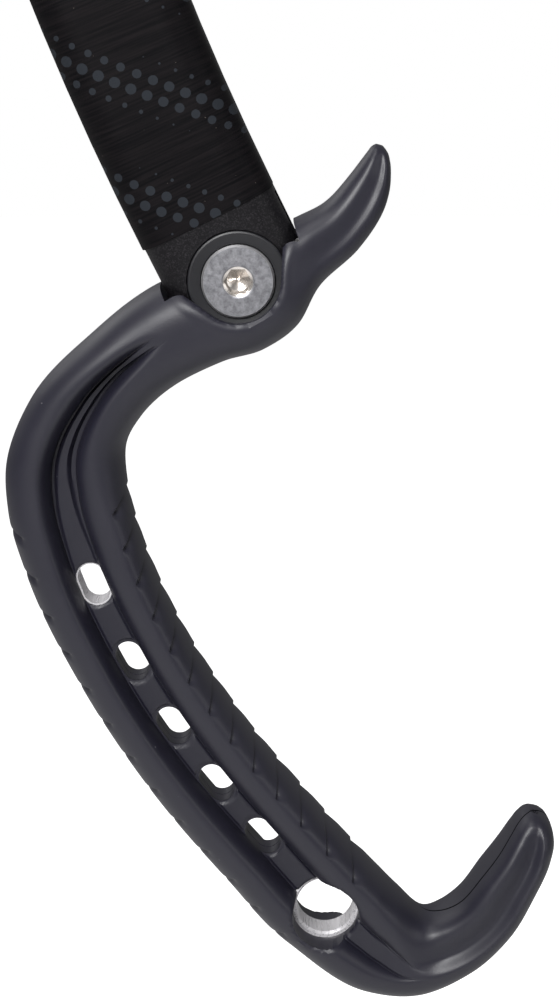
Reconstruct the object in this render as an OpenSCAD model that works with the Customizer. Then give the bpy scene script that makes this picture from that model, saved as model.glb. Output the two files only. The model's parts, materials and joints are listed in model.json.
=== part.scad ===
// Ice climbing tool with a curved shaft and a handle that tilts on a clamp bolt.
// Millimetres. The tool lies in the XZ plane with +Z up, and its front faces -Y.
// The origin is the centre of the clip hole at the foot of the handle, on the middle plane.

/* [Shaft] */
// Width of the shaft's section in the plane of the tool
shaft_w = 29.4; // [27:0.2:32]
// Thickness of the shaft across the tool
shaft_t = 20.2; // [18:0.2:23]
// Corner radius of the section
shaft_r = 7; // [5:0.5:8.5]
// Wall of the tube
shaft_wall = 1.8; // [1.2:0.1:2.6]
// Lean of the shaft's lower end to the left of upright, in degrees
shaft_lean = 26.2; // [23:0.2:28]
// Offset of the shaft's centre line from the pivot
shaft_offset = -0.3; // [-0.8:0.1:0.5]
// Height of the tube's lower rim above the pivot
rim_rise = 13.5; // [13:0.1:16]
// Radius of the shaft's bow
bow_r = 580; // [480:10:900]
// Length of the shaft along its bow
shaft_l = 300; // [260:5:340]

/* [Pivot] */
// Pivot, measured to the right of the clip hole
pivot_x = -18.3; // [-22:0.1:-15]
// Pivot, measured above the clip hole
pivot_z = 138.5; // [130:0.1:147]
// Tilt of the handle to each side, in degrees
tilt = 4; // [1:0.5:5]
// Step from the shaft's surface in to the fitting's
fit_step = 0.3; // [0.2:0.05:0.8]
// Radius of the fork's cheeks about the pivot
cheek_r = 11.5; // [11:0.1:12.5]
// Height of the fork's left shoulder above the pivot
shoulder_left = 1.4; // [1:0.1:6]
// Height of the fork's right shoulder above the pivot
shoulder_right = 2; // [1:0.1:6]
// Length of the spigots that go into the tube
spigot = 34; // [24:1:40]
// Radius of the bolt's head
bolt_head_r = 7.4; // [6.8:0.1:8]
// Thickness of the bolt's head
bolt_head_t = 2.8; // [2:0.1:3.2]
// Hex key size of the pivot bolt
hex_key = 5; // [4:0.5:6]
// Radius of the bolt's thread
bolt_r = 3.6; // [3.4:0.1:4]
// Radius of the sleeve nut that the handle turns on
sleeve_r = 5; // [4.6:0.1:5.6]
// Wall of the plain bearing bush
bush_wall = 1.5; // [1:0.1:2]
// Outer radius of the rings in the counterbores
ring_r = 10.3; // [9.8:0.1:11]
// Depth of the counterbores
counterbore = 2.2; // [1.6:0.1:2.8]
// Thickness of the thrust washers
washer_t = 0.5; // [0.4:0.1:1]

/* [Handle] */
// Thickness of the core plate
core_t = 6.6; // [6:0.1:8]
// Distance from the handle's edge in to the core plate
core_inset = 4.2; // [3.6:0.1:5]
// Rubber over the core on the channel's floor
floor_skin = 0.7; // [0.5:0.1:1.4]
// Rubber over the fork's cheeks at the mouth
lip_skin = 2.4; // [1.8:0.1:3]
// Radius of the mouth's lip about the pivot
lip_r = 8.8; // [8.4:0.1:9.6]
// Flare of the mouth to each side, in degrees
lip_flare = 29; // [24:0.5:34]
// Number of grip notches along each rail
notches = 13; // [6:1:14]
// Distance between grip notches
notch_pitch = 8.4; // [7:0.1:9]
// Depth of a grip notch
notch_depth = 0.9; // [0.3:0.1:1.3]
// Width of the slots in the channel
slot_w = 5.6; // [4.4:0.1:6]
// Length of the slots
slot_l = 9; // [8:0.1:10]
// Radius of the clip hole
clip_r = 6.3; // [5:0.1:6.6]
// Chamfer of the clip hole
clip_chamfer = 0.5; // [0.2:0.1:0.8]

/* [Head] */
// Thickness of the pick
pick_t = 4; // [3:0.1:5]
// Reach of the pick from the head's centre
pick_reach = 150; // [130:1:165]
// Drop of the pick's point below the bolts
pick_drop = 40; // [32:1:48]
// Depth of the pick's teeth
tooth_depth = 2.2; // [1:0.1:3]
// Number of teeth
teeth = 13; // [8:1:15]
// Thickness of the head
head_t = 19; // [17:0.2:21]
// Height of the bolts above the tube's upper rim
head_bolt_v = 20; // [18:0.5:23]
// Radius of the head's bolts
head_bolt_r = 3; // [2.5:0.1:3.5]
// Radius of the cross pins in the tube
pin_r = 2; // [1.5:0.1:2.5]
// Radius of the hammer's face
hammer_r = 9; // [8:0.2:10]
// Length of the hammer behind the head
hammer_l = 27; // [22:1:34]

/* [Hidden] */
$fn = 64;

// Clearances
run_gap = 0.05;
slip_gap = 0.1;
turn_gap = 0.4;
eps = 0.02;
wide = 80;

// Sizes worked out for the pivot
fit_w = shaft_w - 2 * fit_step;
fit_t = shaft_t - 2 * fit_step;
fit_r = shaft_r - fit_step;
cheek_y = fit_t / 2;
fork_y = core_t / 2 + washer_t;
seat_y = cheek_y - counterbore;
fork_root = cheek_r + turn_gap * 2;
bush_r = sleeve_r + run_gap + bush_wall;
hex_r = hex_key / 2 / cos(30);
tang_r = cheek_r - 1;
mouth_half = cheek_y + turn_gap / 2 + lip_skin;

// Handle drawn as pairs of points across it, from the hook's tip round the grip to the horn's tip.
// Each row: back edge x and z, front edge x and z, half thickness.
drawn_pivot = [-18.3, 138.5];
hook_rows = [
    [46.3, 20.9, 44.6, 21.3, 3],
    [47.8, 19.9, 43.3, 20.7, 5.4],
    [49.0, 18.2, 41.9, 19.3, 7.2],
    [49.7, 15.6, 40.4, 16.9, 8.6],
    [49.1, 11.1, 38.0, 12.8, 9.8],
    [46.0, 3.2, 34.1, 7.2, 10.4],
    [40.4, -7.2, 29.5, 0.8, 10.4],
    [32.6, -15.2, 25.1, -2.3, 10],
    [21.7, -20.8, 21.5, -2.8, 9.8],
    [8.6, -20.2, 16.5, 1.8, 10]];
grip_rows = [
    [-8.4, -8.7, 10.0, 8.5, 10.1],
    [-21.5, 6.0, -2.9, 23.2, 10.2],
    [-38.1, 27.1, -17.8, 42.1, 10.2],
    [-52.7, 51.0, -30.6, 62.8, 10.2],
    [-63.5, 75.5, -39.5, 84.5, 10.2]];
top_rows = [
    [-66.9, 89.1, -41.9, 95.1, 10.2],
    [-66.8, 100.1, -42.0, 102.6, 10.3],
    [-61.3, 113.1, -38.7, 109.1, 10.6],
    [-48.5, 126.4, -30.8, 116.3, 11.4],
    [-36.5, 135.5, -21.1, 121.2, 12],
    [-24.0, 141.1, -12.9, 123.7, 12.2],
    [-14.2, 146.4, -6, 128.9, 12.2],
    [-6.1, 150.2, -1.5, 136.9, 10.4],
    [-0.8, 153.1, 6.1, 144, 8.2],
    [4.2, 158.6, 11.7, 153.3, 6.2],
    [6.7, 161.9, 12.5, 158.2, 5.4],
    [7.9, 163.5, 12.3, 161.6, 4.4],
    [8.7, 164.5, 11.7, 163.5, 3.2],
    [9.4, 164.9, 10.9, 164.5, 1.6]];
drawn_mouth = 12.2;
hole_row = len(hook_rows);
first_top = hole_row + len(grip_rows);

// The rows above the grip follow the pivot, and the grip stretches between.
function follow(i) = max(0, min(1, (i - hole_row) / (first_top - hole_row)));
// Rows thicker than the grip's follow the thickness of the mouth.
grip_half_t = grip_rows[0][4];
function swell(h) = h + max(0, h - grip_half_t) / (drawn_mouth - grip_half_t) * (mouth_half - drawn_mouth);
pivot_shift = [pivot_x, pivot_z] - drawn_pivot;
drawn_rows = concat(hook_rows, grip_rows, top_rows);
rows = [for (i = [0:len(drawn_rows) - 1])
    let (r = drawn_rows[i], d = pivot_shift * follow(i))
    [r[0] + d[0], r[1] + d[1], r[2] + d[0], r[3] + d[1], i < first_top ? r[4] : swell(r[4])]];

// Smooth curve through the rows, measured along the handle's middle line
last_row = len(rows) - 1;
function row_mid(r) = [r[0] + r[2], r[1] + r[3]] / 2;
gaps = [for (i = [0:last_row - 1]) norm(row_mid(rows[i + 1]) - row_mid(rows[i]))];
function running(list, i = 0, total = 0) =
    i >= len(list) ? [total] : concat([total], running(list, i + 1, total + list[i]));
run = running(gaps);
function step(i) = (rows[i + 1] - rows[i]) / gaps[i];
slopes = [for (i = [0:last_row])
    i == 0 ? step(0) :
    i == last_row ? step(last_row - 1) :
    (step(i) * gaps[i - 1] + step(i - 1) * gaps[i]) / (gaps[i - 1] + gaps[i])];
function span(u) = max(0, min(last_row - 1, len([for (r = run) if (r <= u) r]) - 1));
function station(u) = let (i = span(u)) i + (u - run[i]) / gaps[i];
function cross_row(u) =
    let (i = span(u), g = gaps[i], t = (u - run[i]) / g)
    rows[i] * (1 + 2 * t) * (1 - t) * (1 - t) + slopes[i] * g * t * (1 - t) * (1 - t)
    + rows[i + 1] * t * t * (3 - 2 * t) - slopes[i + 1] * g * t * t * (1 - t);
function across(u, a) =
    let (r = cross_row(u))
    [r[0] + (r[2] - r[0]) * a, r[1] + (r[3] - r[1]) * a];
function width(u) = let (r = cross_row(u)) norm([r[2] - r[0], r[3] - r[1]]);

// Channel between the rails: how far it is sunk, its middle and its half width, by row
channel_on = [[7.6, 0], [9, 1], [17.3, 1], [18.7, 0]];
channel_mid = [[7.6, 0.34], [8.4, 0.36], [9.5, 0.52], [15, 0.52], [16.5, 0.51], [17.6, 0.5], [18.7, 0.45]];
channel_half = [[7.6, 0.02], [8.4, 0.08], [9.5, 0.12], [14, 0.11], [15, 0.1], [16.5, 0.07],
    [17.6, 0.04], [18.7, 0.02]];
floor_y = core_t / 2 + floor_skin;

// How square the section is: rounded everywhere but on the hook's inner face
crown = 2.8;
crown_front = [[0, crown], [3, 3.6], [5, 4.4], [6.5, 4], [8.5, crown]];

// Half section from the back edge over the rails to the front edge, as shares of the width
function shares(s) =
    let (c = lookup(s, channel_mid), w = lookup(s, channel_half))
    let (soft = c - w - 0.08, wall = c + w + 0.02)
    [0, 0.012, 0.055, 0.13, (0.13 + soft) / 2, soft, c - w, c + w, wall, (wall + 0.88) / 2,
        0.88, 0.95, 0.988, 1];
sunk = [0, 0, 0, 0, 0.04, 0.28, 1, 1, 0.2, 0, 0, 0, 0, 0];
slant = [0, 0.4, 1.4, 2.6, 3, 3, 3, 3, 3.6, 4.6, 3, 1.3, 0.4, 0];
notched = [-0.4, -0.6, -1, -0.7, 0, 0, 0, 0, 0, 0, 1, 0.9, 0.6, 0.4];
points_across = len(sunk);
rail_mid = 0.22;

// Grip notches: each falls steeply on the side of the horn and rises slowly towards the hook
notch_start = run[hole_row] - 1;
notch_end = notch_start + notches * notch_pitch;
notch_step = 0.35;
notch_rise = 0.62;
ring_step = 4.2;
function in_notches(u) = u > notch_start - ring_step / 2 && u < notch_end + ring_step / 2;
plain_rings = [for (i = [0:last_row - 1])
    let (n = max(2, ceil(gaps[i] / ring_step)))
    for (j = [0:n - 1])
    let (u = run[i] + gaps[i] * j / n)
    if (!in_notches(u)) [u, 0]];
notch_rings = [for (i = [1:notches])
    let (u = notch_start + i * notch_pitch)
    each [[u - notch_rise * notch_pitch, 0], [u - notch_step, 1], [u, 0]]];
rings = concat([for (r = plain_rings) if (r[0] < notch_start) r], notch_rings,
    [for (r = plain_rings) if (r[0] > notch_start) r], [[run[last_row], 0]]);
slant_fade = 12;
function slant_on(u) = max(0, min(1, (u - notch_start + slant_fade) / slant_fade,
    (notch_end + slant_fade - u) / slant_fade));

function skin_point(u, k, cut) =
    let (v = u - slant[k] * slant_on(u), r = cross_row(v), s = station(v), a = shares(s)[k])
    let (b = [r[0], r[1]], d = [r[2] - r[0], r[3] - r[1]], w = norm(d))
    let (c = a > 0.5 ? lookup(s, crown_front) : crown)
    let (full = r[4] * pow(max(0, 1 - pow(abs(2 * a - 1), c)), 1 / c))
    let (low = min(full, floor_y), y = full + (low - full) * sunk[k] * lookup(s, channel_on))
    let (side = notched[k] < 0 ? rail_mid : 1 - rail_mid, out = [(a - side) * w, y])
    let (cut_in = abs(notched[k]) * cut * notch_depth / max(norm(out), 1))
    let (p = b + d * a - d / w * out[0] * cut_in)
    [p[0], y * (1 - cut_in), p[1]];

// One half of the handle's body, on the side of +Y
module grip_body() {
    m = points_across;
    n = len(rings);
    points = [for (r = rings) for (k = [0:m - 1]) skin_point(r[0], k, r[1])];
    sides = [for (i = [0:n - 2]) for (k = [0:m - 1])
        let (a = i * m + k, b = i * m + (k + 1) % m)
        each [[a, b, b + m], [a, b + m, a + m]]];
    foot = [for (k = [1:m - 2]) [0, k + 1, k]];
    tip = [for (k = [1:m - 2]) [(n - 1) * m, (n - 1) * m + k, (n - 1) * m + k + 1]];
    polyhedron(points, concat(sides, foot, tip), convexity = 8);
}

// Places and helpers
slot_runs = [22.1, 37.9, 53.8, 70.7, 89.4];
bare_slot = len(slot_runs) - 1;
slot_share = 0.508;
clip_liner = 0.9;
clip_drop = 0.3;
slot_liner = 0.8;
slot_roof = 0.3;

// Extrudes a figure drawn in x and z from y0 to y1
module slab(y0, y1) {
    translate([0, y1, 0]) rotate([90, 0, 0]) linear_extrude(y1 - y0) children();
}
module rod(r, y0, y1) {
    translate([0, y1, 0]) rotate([90, 0, 0]) cylinder(r = r, h = y1 - y0);
}
module cone(r0, r1, y0, y1) {
    translate([0, y0, 0]) rotate([-90, 0, 0]) cylinder(r1 = r0, r2 = r1, h = y1 - y0);
}
module tube(r, bore, y0, y1) {
    difference() {
        rod(r, y0, y1);
        rod(bore, y0 - 1, y1 + 1);
    }
}
module rounded_oblong(w, t, r) {
    square([w - 2 * r, t], center = true);
    square([w, t - 2 * r], center = true);
    for (x = [-1, 1], y = [-1, 1])
        translate([x * (w / 2 - r), y * (t / 2 - r)]) circle(r);
}
module at_pivot() {
    translate([pivot_x, 0, pivot_z]) children();
}
module along_shaft() {
    at_pivot() rotate([0, -shaft_lean, 0]) children();
}
// Angle of the bow that a length of the shaft takes up
function bow_angle(length) = length / bow_r * 180 / PI;
module at_head() {
    turn = bow_angle(shaft_l);
    along_shaft() translate([shaft_offset + bow_r * (1 - cos(turn)), 0, rim_rise + bow_r * sin(turn)])
        rotate([0, turn, 0]) children();
}
function rounded(points, r, steps = 5) =
    let (n = len(points))
    [for (i = [0:n - 1])
        let (p = points[i], a = points[(i + n - 1) % n] - p, b = points[(i + 1) % n] - p)
        let (ua = a / norm(a), ub = b / norm(b), cut = r * (1 + ua * ub) / norm(cross3(ua, ub)))
        let (s = p + ua * cut, e = p + ub * cut)
        for (j = [0:steps])
        let (t = j / steps)
        s * (1 - t) * (1 - t) + p * 2 * t * (1 - t) + e * t * t];
function cross3(a, b) = [0, 0, a[0] * b[1] - a[1] * b[0]];

// Sweeps a section along the shaft's bow, between two lengths from the lower rim
module shaft_run(from, to) {
    along_shaft() translate([shaft_offset + bow_r, 0, rim_rise]) mirror([1, 0, 0]) rotate([90, 0, 0])
        rotate(bow_angle(from)) rotate_extrude(angle = bow_angle(to - from))
            translate([bow_r, 0]) children();
}

// Outline of the fork seen from the front up to a height, grown by c, with the pivot at its origin
module fork_outline(c, top) {
    circle(cheek_r + c);
    polygon([
        [shaft_offset / 2 - fit_w / 2 - c, shoulder_left - c],
        [shaft_offset / 2 + fit_w / 2 + c, shoulder_right - c],
        [shaft_offset / 2 + fit_w / 2 + c, top],
        [shaft_offset / 2 - fit_w / 2 - c, top]]);
}
// Mouth of the handle seen from the front: a round lip under the bolt, flared to both sides
mouth_reach = 34;
lip_rise = 0.4;
module mouth_outline() translate([0, lip_rise]) {
    foot = [lip_r * cos(lip_flare), -lip_r * sin(lip_flare)];
    head = foot + mouth_reach * [sin(lip_flare), cos(lip_flare)];
    circle(lip_r);
    polygon([[-foot[0], foot[1]], foot, head, [-head[0], head[1]]]);
}
module slot_outline(grow = 0) {
    square([slot_w + 2 * grow, slot_l - slot_w], center = true);
    for (z = [-1, 1]) translate([0, z * (slot_l - slot_w) / 2]) circle(slot_w / 2 + grow);
}
module at_slot(i) {
    u = run[hole_row] + slot_runs[i];
    p = across(u, slot_share);
    d = across(u + 1, slot_share) - p;
    translate(p) rotate(atan2(d[1], d[0]) - 90) children();
}

// Outline of the core plate's band inside the handle
core_from = 4.4;
core_short = 5.6;
core_to = last_row - core_short;
core_steps = 44;
core_stations = [for (i = [0:core_steps]) core_from + (core_to - core_from) * i / core_steps];
function run_at(s) = let (i = min(last_row - 1, floor(s))) run[i] + gaps[i] * (s - i);
module core_outline() {
    back = [for (s = core_stations) let (u = run_at(s)) across(u, core_inset / width(u))];
    front = [for (i = [len(core_stations) - 1:-1:0])
        let (u = run_at(core_stations[i])) across(u, 1 - core_inset / width(u))];
    polygon(concat(back, front));
}
// The plate with its slots, which are wider where rubber lines them
module core_blank(gap = 0) {
    y = core_t / 2 + gap;
    slab(-y, y) difference() {
        core_outline();
        at_slot(bare_slot) slot_outline();
        for (i = [0:bare_slot - 1]) at_slot(i) slot_outline(slot_liner);
    }
    at_pivot() rod(tang_r, -y, y);
}

module shaft_tube() color([0.07, 0.07, 0.075]) difference() {
    shaft_run(0, shaft_l) difference() {
        rounded_oblong(shaft_w, shaft_t, shaft_r);
        rounded_oblong(shaft_w - 2 * shaft_wall, shaft_t - 2 * shaft_wall, shaft_r - shaft_wall);
    }
    at_pins() rod(pin_r, -wide, wide);
}

// Solid bar that fits the tube's bore
module spigot_bar(from, to) {
    inset = shaft_wall + slip_gap;
    shaft_run(from, to) rounded_oblong(shaft_w - 2 * inset, shaft_t - 2 * inset, shaft_r - inset);
}
module pivot_fitting() color([0.13, 0.125, 0.13]) difference() {
    union() {
        along_shaft() intersection() {
            translate([shaft_offset / 2, 0, -wide / 2]) linear_extrude(wide)
                rounded_oblong(fit_w, fit_t, fit_r);
            slab(-wide, wide) fork_outline(0, rim_rise);
        }
        spigot_bar(-1, spigot);
    }
    along_shaft() slab(-fork_y, fork_y) translate([-wide / 2, fork_root - wide]) square([wide, wide]);
    at_pivot() rod(sleeve_r + run_gap, -wide, wide);
    at_pivot() for (side = [-1, 1]) scale([1, side, 1]) rod(ring_r + slip_gap, seat_y, wide);
}

module pivot_ring() {
    bore = bolt_head_r + 2 * slip_gap;
    face = counterbore - slip_gap;
    edge = 0.6;
    rotate([-90, 0, 0]) rotate_extrude() polygon(concat(
        [[bore, 0], [ring_r, 0]],
        [for (a = [0:30:90]) [ring_r - edge + edge * cos(a), face - edge + edge * sin(a)]],
        [[bore, face - edge / 2]]));
}
module ring_rear() color([0.1, 0.1, 0.105])
    at_pivot() translate([0, seat_y, 0]) pivot_ring();
module ring_front() color([0.1, 0.1, 0.105]) mirror([0, 1, 0])
    at_pivot() translate([0, seat_y, 0]) pivot_ring();

// Flat head with a broken edge and a hex socket, facing -Y from its seat
head_edge = 0.4;
socket_edge = 0.45;
socket_depth = bolt_head_t * 1.3;
thread_stop = 2;
thread_end = seat_y - thread_stop;
module socket_head() {
    face = -seat_y - bolt_head_t;
    floor = face + socket_depth;
    difference() {
        union() {
            rod(bolt_head_r, face + head_edge, -seat_y);
            cone(bolt_head_r - head_edge, bolt_head_r, face, face + head_edge);
            rod(bolt_r, -seat_y - eps, thread_end);
        }
        translate([0, floor, 0]) rotate([90, 0, 0]) cylinder(r = hex_r, h = socket_depth + 1, $fn = 6);
        cone(hex_r + socket_edge, hex_key / 2 - slip_gap, face, face + socket_edge);
        cone(hex_key / 2 - slip_gap, 0, floor - eps, floor + hex_key / 4);
    }
}
module pivot_bolt() color([0.62, 0.62, 0.64]) at_pivot() socket_head();

// Sleeve nut: the bolt's head again on the back, on a sleeve with a thread in it
module pivot_nut() color([0.6, 0.6, 0.62]) at_pivot() difference() {
    union() {
        rod(bolt_head_r, seat_y, seat_y + bolt_head_t - head_edge);
        cone(bolt_head_r, bolt_head_r - head_edge, seat_y + bolt_head_t - head_edge, seat_y + bolt_head_t);
        rod(sleeve_r, -seat_y + slip_gap, seat_y + eps);
    }
    rod(bolt_r + run_gap, -wide, thread_end + slip_gap);
    translate([0, seat_y + bolt_head_t + 1, 0]) rotate([90, 0, 0])
        cylinder(r = hex_r, h = bolt_head_t, $fn = 6);
}
module pivot_bush() color([0.55, 0.47, 0.3]) at_pivot()
    tube(bush_r, sleeve_r + run_gap, -core_t / 2, core_t / 2);
module thrust_washers() color([0.75, 0.75, 0.72]) at_pivot()
    for (side = [-1, 1]) scale([1, side, 1])
        tube(tang_r - 1, sleeve_r + slip_gap, core_t / 2 + run_gap, fork_y - run_gap / 2);

module handle_core() color([0.82, 0.82, 0.84]) difference() {
    core_blank();
    rod(clip_r, -wide, wide);
    for (side = [-1, 1]) scale([1, side, 1])
        cone(clip_r, clip_r + clip_chamfer + 1, core_t / 2 - clip_chamfer, core_t / 2 + 1);
    at_pivot() rod(bush_r, -wide, wide);
}

// Room that the fork sweeps in the handle, with its turning gap
module fork_room() {
    y = cheek_y + turn_gap / 2;
    along_shaft() slab(-y, y) for (turn = [-tilt, 0, tilt]) rotate(turn) fork_outline(turn_gap, wide);
}
module grip_half() difference() {
    grip_body();
    core_blank(eps);
    slab(-wide, floor_y + slot_roof) for (i = [0:bare_slot]) at_slot(i) slot_outline();
    translate([0, 0, -clip_drop]) rod(clip_r + clip_liner, -wide, wide);
    along_shaft() slab(-wide, wide) mouth_outline();
    fork_room();
}
module grip_half_rear() color([0.2, 0.195, 0.22]) grip_half();
module grip_half_front() color([0.2, 0.195, 0.22]) mirror([0, 1, 0]) grip_half();

// Head, drawn from the tube's upper rim: u to the right along the pick, v up
bolt_us = [6, 20];
hammer_u = -10;
head_back = -20;
head_front = 28;
jaw_half = 10;
head_bevel = 8;
head_round = 3;
head_edge_r = 4;
jaw_low = head_bolt_v - jaw_half;
jaw_high = head_bolt_v + jaw_half;
head_top = jaw_high + head_bevel;
slot_y = pick_t / 2 + slip_gap;
cap_r = head_bolt_r * 1.75;
cap_t = 2.6;
flat_t = 0.8;
bolt_seat = head_t / 2 - cap_t - flat_t - 2 * slip_gap;
pin_vs = [-0.26 * spigot, -0.68 * spigot];
module at_pins() {
    at_head() for (v = pin_vs) translate([0, 0, v]) children();
}
module at_bolts(us) {
    at_head() for (u = us) translate([u, 0, head_bolt_v]) children();
}
module head_outline() {
    polygon(rounded([[-shaft_w / 2, 0], [shaft_w / 2, 0],
        [head_front - head_bevel, jaw_low - head_bevel / 2], [head_front, jaw_low],
        [head_front, jaw_high], [head_front - head_bevel, head_top],
        [head_back + head_bevel, head_top], [head_back, jaw_high], [head_back, jaw_low]], head_round));
}
module head_block() color([0.1, 0.1, 0.105]) difference() {
    union() {
        at_head() intersection() {
            slab(-head_t / 2, head_t / 2) head_outline();
            translate([-wide, 0, head_top / 2]) rotate([0, 90, 0]) linear_extrude(2 * wide)
                rounded_oblong(head_top, head_t, head_edge_r);
        }
        spigot_bar(shaft_l - spigot, shaft_l + 1);
    }
    at_head() slab(-slot_y, slot_y) translate([-wide / 2, tail_low - turn_gap]) square([wide, wide]);
    at_bolts(concat(bolt_us, [hammer_u])) {
        rod(head_bolt_r + run_gap, -wide, wide);
        for (side = [-1, 1]) scale([1, side, 1]) rod(cap_r + 2 * slip_gap, bolt_seat, wide);
    }
    at_pins() rod(pin_r, -wide, wide);
}
module head_pins() color([0.5, 0.5, 0.52]) at_pins() rod(pin_r, -shaft_t / 2, shaft_t / 2);

// Blade: two curves from the head to the point, with hooked teeth along the lower one
tail_half = 11.5;
tail_low = head_bolt_v - tail_half;
tail_high = head_bolt_v + tail_half;
tail_end = -2;
blade_start = head_front + 3;
blade_steps = 16;
pick_point = [pick_reach, head_bolt_v - pick_drop];
top_pull = [pick_reach * 0.66, tail_high + 0.5];
low_pull = [pick_reach * 0.6, head_bolt_v - 3];
function bow(p, q, r, t) = p * (1 - t) * (1 - t) + q * 2 * t * (1 - t) + r * t * t;
function blade_top(t) = bow([blade_start, tail_high], top_pull, pick_point, t);
function blade_low(t) = bow([blade_start, tail_low], low_pull, pick_point, t);
tooth_from = 0.16;
tooth_to = 0.93;
gullet = 0.25;
tooth_back = 0.85;
back_depth = 0.4 * tooth_depth;
function tooth(i) =
    let (p = (tooth_to - tooth_from) / teeth, t = tooth_to - i * p)
    let (d = blade_low(t - p) - blade_low(t), out = [d[1], -d[0]] / norm(d))
    [blade_low(t), blade_low(t - gullet * p) - out * tooth_depth,
        blade_low(t - tooth_back * p) - out * back_depth];
module pick() color([0.56, 0.57, 0.59]) difference() {
    at_head() slab(-pick_t / 2, pick_t / 2) polygon(concat(
        [[tail_end, tail_low], [tail_end, tail_high]],
        [for (i = [0:blade_steps]) blade_top(i / blade_steps)],
        [for (i = [0:teeth - 1]) each tooth(i)],
        [for (t = [tooth_from:-0.05:0]) blade_low(t)]));
    at_bolts(bolt_us) rod(head_bolt_r + run_gap, -wide, wide);
}
// Hammer: a waisted striker with a plate that lies in the head's slot
hammer_gap = 0.3;
plate_root = 3;
plate_gap = 0.5;
waist = 2.5;
waist_l = hammer_l * 0.8;
face_edge = 1;
module hammer() color([0.5, 0.5, 0.53]) difference() {
    at_head() union() {
        slab(-pick_t / 2, pick_t / 2) translate([head_back - plate_root, head_bolt_v - hammer_r])
            square([tail_end - plate_gap - head_back + plate_root, 2 * hammer_r]);
        translate([head_back - hammer_gap, 0, head_bolt_v]) rotate([0, -90, 0]) rotate_extrude()
            polygon(concat(
                [[0, 0]],
                [for (t = [0:0.125:1]) [hammer_r - waist * sin(180 * t), waist_l * t]],
                [[hammer_r, hammer_l - face_edge], [hammer_r - face_edge, hammer_l], [0, hammer_l]]));
    }
    at_bolts([hammer_u]) rod(head_bolt_r + run_gap, -wide, wide);
}

// Head bolts: a cap with a hex socket in front, a round nut with a socket behind
cap_hex_r = head_bolt_r * 0.77;
cap_hex_depth = cap_t * 0.7;
module head_bolt() {
    face = bolt_seat + flat_t + cap_t;
    difference() {
        union() {
            rod(cap_r, -face, -bolt_seat - flat_t);
            rod(head_bolt_r, -bolt_seat - flat_t, bolt_seat + flat_t + cap_t / 2);
        }
        translate([0, -face + cap_hex_depth, 0]) rotate([90, 0, 0])
            cylinder(r = cap_hex_r, h = cap_t, $fn = 6);
    }
}
module head_nut() {
    tube(cap_r, head_bolt_r + eps, bolt_seat + flat_t, bolt_seat + flat_t + cap_t);
}
module pick_bolts() color([0.55, 0.55, 0.57]) at_bolts(bolt_us) head_bolt();
module pick_nuts() color([0.5, 0.5, 0.52]) at_bolts(bolt_us) head_nut();
module hammer_bolt() color([0.55, 0.55, 0.57]) at_bolts([hammer_u]) head_bolt();
module hammer_nut() color([0.5, 0.5, 0.52]) at_bolts([hammer_u]) head_nut();
module bolt_washers() color([0.66, 0.66, 0.68]) at_bolts(concat(bolt_us, [hammer_u]))
    for (side = [-1, 1]) scale([1, side, 1])
        tube(cap_r, head_bolt_r + slip_gap, bolt_seat, bolt_seat + flat_t);

shaft_tube();
pivot_fitting();
ring_front();
ring_rear();
pivot_bolt();
pivot_nut();
pivot_bush();
thrust_washers();
handle_core();
grip_half_front();
grip_half_rear();
head_block();
head_pins();
pick();
hammer();
pick_bolts();
pick_nuts();
hammer_bolt();
hammer_nut();
bolt_washers();
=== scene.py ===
"""Dresses the packed ice climbing tool: moulded grip halves, finishes for every part, stage and camera."""

import json
import math

import bmesh
import bpy
import numpy as np
from mathutils import Matrix, Vector


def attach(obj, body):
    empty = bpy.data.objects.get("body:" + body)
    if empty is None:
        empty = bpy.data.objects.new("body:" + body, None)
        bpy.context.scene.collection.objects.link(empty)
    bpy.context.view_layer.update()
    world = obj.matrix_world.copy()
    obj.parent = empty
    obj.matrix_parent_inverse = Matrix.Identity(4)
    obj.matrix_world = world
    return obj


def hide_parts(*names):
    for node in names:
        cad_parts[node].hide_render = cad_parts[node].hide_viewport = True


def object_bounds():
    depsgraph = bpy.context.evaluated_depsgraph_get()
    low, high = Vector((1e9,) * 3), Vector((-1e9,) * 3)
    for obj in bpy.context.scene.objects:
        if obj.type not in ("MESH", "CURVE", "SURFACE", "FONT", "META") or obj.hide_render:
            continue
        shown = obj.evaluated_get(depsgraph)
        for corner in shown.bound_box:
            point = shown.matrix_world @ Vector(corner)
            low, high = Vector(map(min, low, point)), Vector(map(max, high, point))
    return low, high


bl_info = {
    "name": "Ice Climbing Tool",
    "version": (1, 0, 0),
    "blender": (4, 5, 0),
    "location": "3D View > Sidebar > Ice Tool",
    "description": "Moulded grip, finishes and studio for an ice climbing tool",
    "category": "Object",
}

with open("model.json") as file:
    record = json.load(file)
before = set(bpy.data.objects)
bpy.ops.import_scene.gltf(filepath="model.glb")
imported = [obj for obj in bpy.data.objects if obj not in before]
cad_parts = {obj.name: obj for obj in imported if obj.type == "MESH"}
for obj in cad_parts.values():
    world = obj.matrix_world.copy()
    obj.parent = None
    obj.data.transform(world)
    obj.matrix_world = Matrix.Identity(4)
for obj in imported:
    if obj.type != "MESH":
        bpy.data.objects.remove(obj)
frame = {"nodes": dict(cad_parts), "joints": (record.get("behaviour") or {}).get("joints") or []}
CAD_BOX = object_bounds()
MM = 0.001

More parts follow.
